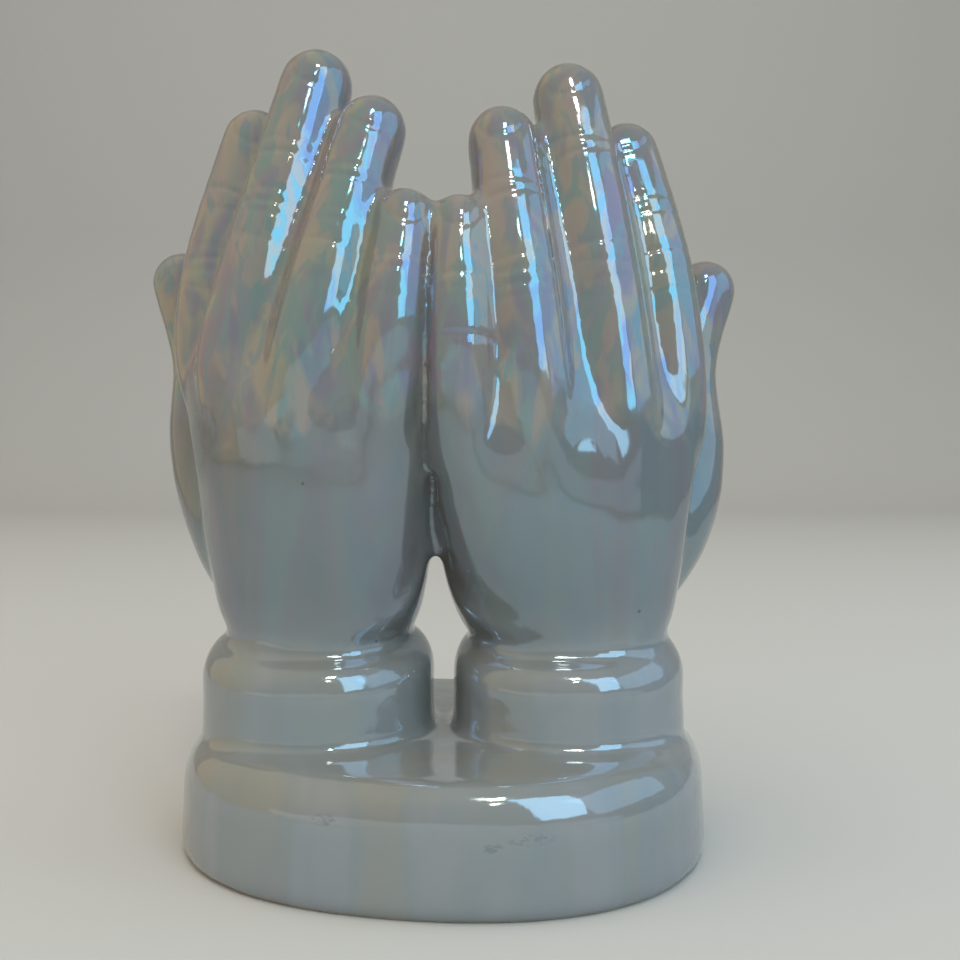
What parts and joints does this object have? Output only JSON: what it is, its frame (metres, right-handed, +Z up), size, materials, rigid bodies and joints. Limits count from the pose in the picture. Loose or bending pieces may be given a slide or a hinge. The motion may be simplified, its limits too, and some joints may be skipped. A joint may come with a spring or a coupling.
{
  "type": "hands trinket dish",
  "caption": "Slip-cast ceramic pair of open hands on cuffs and an oval base, joined at the little fingers so that the palms form an open cup for small things.",
  "frame": {"origin": "middle of the flat foot, on the surface that the piece stands on", "axes": "+Z up, -Y towards the backs of the hands, +Y towards the palms and thumbs, +X to the right seen from the front"},
  "size_m": [0.1829, 0.1246, 0.2211],
  "materials": {
    "pearl_glaze": "glossy pearl lustre glaze, iridescent"
  },
  "bodies": {
    "root": {"hands_dish": "pearl_glaze"}
  },
  "joints": []
}
